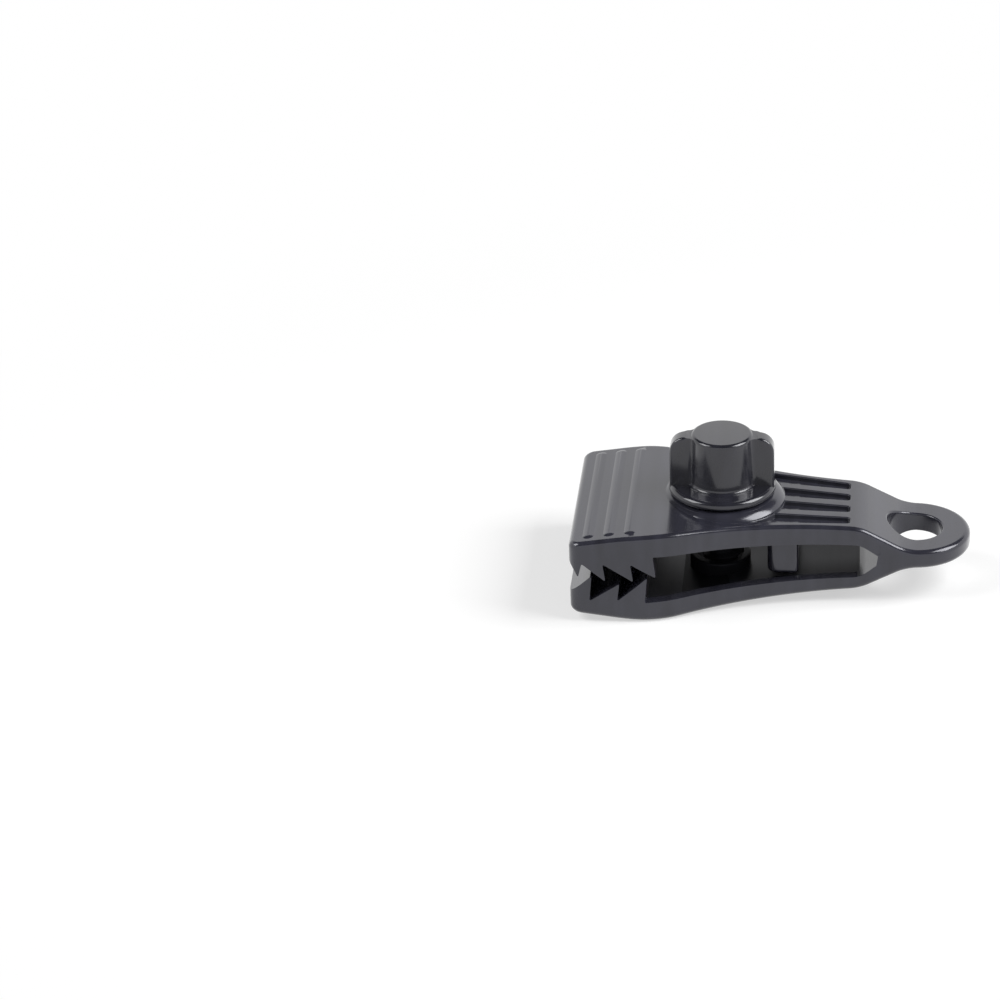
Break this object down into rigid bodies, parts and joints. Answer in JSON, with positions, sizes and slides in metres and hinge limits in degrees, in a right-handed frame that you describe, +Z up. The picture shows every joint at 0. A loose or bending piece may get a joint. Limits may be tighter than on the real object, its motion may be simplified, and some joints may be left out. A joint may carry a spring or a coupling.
{
  "type": "tarp clip",
  "caption": "Plastic tarp clip with toothed jaws joined at a bending root, a winged thumb screw that draws them together, and a round eyelet for a rope.",
  "frame": {"origin": "on the lowest plane, under the middle of the clip's bounding box", "axes": "+X from the jaw tips to the eyelet, +Y across the jaws, +Z up along the screw and the rope hole"},
  "size_m": [0.075, 0.0394, 0.03],
  "materials": {
    "body_plastic": "charcoal moulded nylon, satin",
    "screw_plastic": "charcoal moulded nylon, semi-gloss"
  },
  "bodies": {
    "clip_root": {"lower_jaw": "body_plastic", "eyelet": "body_plastic"},
    "upper_arm": {"upper_jaw": "body_plastic"},
    "thumb_screw": {"thumb_knob": "screw_plastic", "screw_stem": "screw_plastic"}
  },
  "joints": [
    {"name": "jaw_flex", "type": "hinge", "parent": "clip_root", "child": "upper_arm", "pos_m": [0.0197, 0, 0.01194], "axis": [0, 1, 0], "range_deg": [-1, 5]},
    {"name": "screw_turn", "type": "hinge", "parent": "upper_arm", "child": "thumb_screw", "pos_m": [-0.0095, 0, 0.02], "axis": [0, 0, 1], "range_deg": [-61, 305]}
  ],
  "couplings": [
    {"joint": "jaw_flex", "follows": "screw_turn", "ratio": 0.016351}
  ]
}
